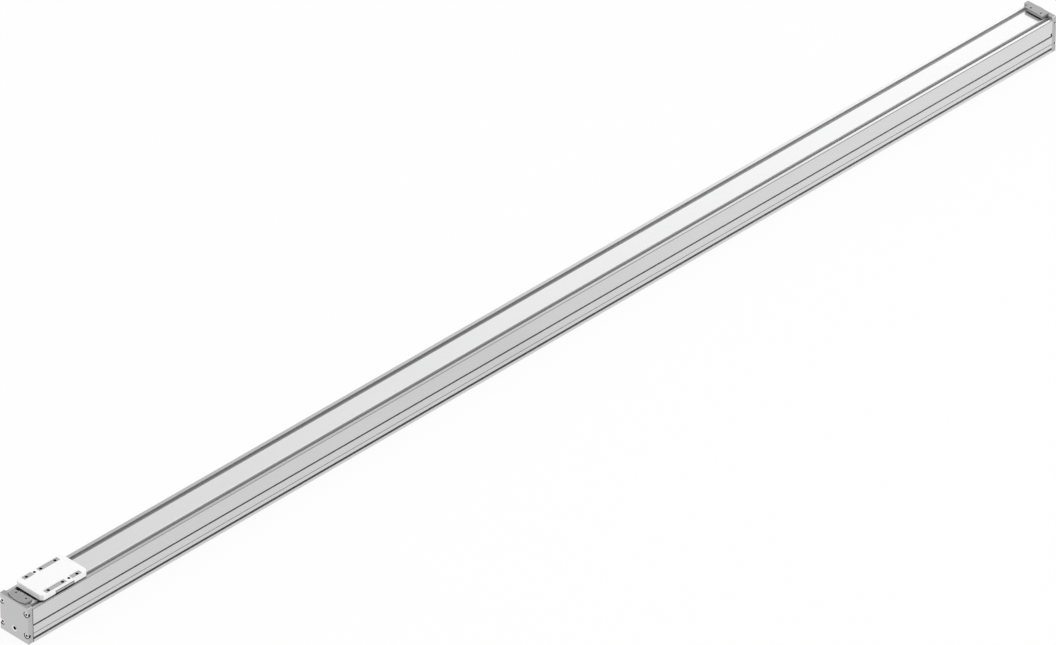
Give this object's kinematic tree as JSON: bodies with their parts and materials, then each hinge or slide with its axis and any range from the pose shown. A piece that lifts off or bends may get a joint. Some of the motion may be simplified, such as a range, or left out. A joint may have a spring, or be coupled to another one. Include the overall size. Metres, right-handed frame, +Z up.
{
  "type": "passive guide axis",
  "caption": "Long extruded guide axis without a drive: a slide with threaded holes runs on an inner rail, under a cover strip clamped in the end caps.",
  "frame": {"origin": "middle of the underside of the profile", "axes": "+X along the axis towards the far end, +Z up, out of the slide's top; the slide rests at the -X end"},
  "size_m": [2.142, 0.06, 0.07],
  "materials": {
    "profile_alloy": "clear anodised, fine grain along the length",
    "cap_alloy": "grey, fine blasted",
    "slide_alloy": "bright, fine blasted",
    "strip_steel": "rolled stainless, bright",
    "rail_steel": "ground",
    "screw_steel": "zinc plated",
    "dark_steel": "black oxide",
    "dark_rubber": "matt",
    "gasket_rubber": "matt",
    "return_plastic": "moulded"
  },
  "bodies": {
    "axis": {"profile": "profile_alloy", "guide_rail": "rail_steel", "rail_screws": "screw_steel", "cover_strip": "strip_steel", "end_cap_near": "cap_alloy", "cap_gasket_near": "gasket_rubber", "cap_screws_near": "screw_steel", "strip_clamp_near": "cap_alloy", "clamp_screws_near": "dark_steel", "end_buffers_near": "dark_rubber", "end_cap_far": "cap_alloy", "cap_gasket_far": "gasket_rubber", "cap_screws_far": "screw_steel", "strip_clamp_far": "cap_alloy", "clamp_screws_far": "dark_steel", "end_buffers_far": "dark_rubber"},
    "carriage": {"bearing_block": "rail_steel", "return_plate_near": "return_plastic", "return_plate_far": "return_plastic", "return_plate_screws": "screw_steel", "end_seal_near": "dark_rubber", "end_seal_far": "dark_rubber", "block_screws": "screw_steel", "saddle": "cap_alloy", "saddle_screws_left": "screw_steel", "saddle_screws_right": "screw_steel", "slide": "slide_alloy", "wiper_near": "dark_rubber", "wiper_far": "dark_rubber"}
  },
  "joints": [
    {"name": "slide_travel", "type": "slide", "parent": "axis", "child": "carriage", "axis": [1, 0, 0], "range_m": [0, 1.992]}
  ]
}
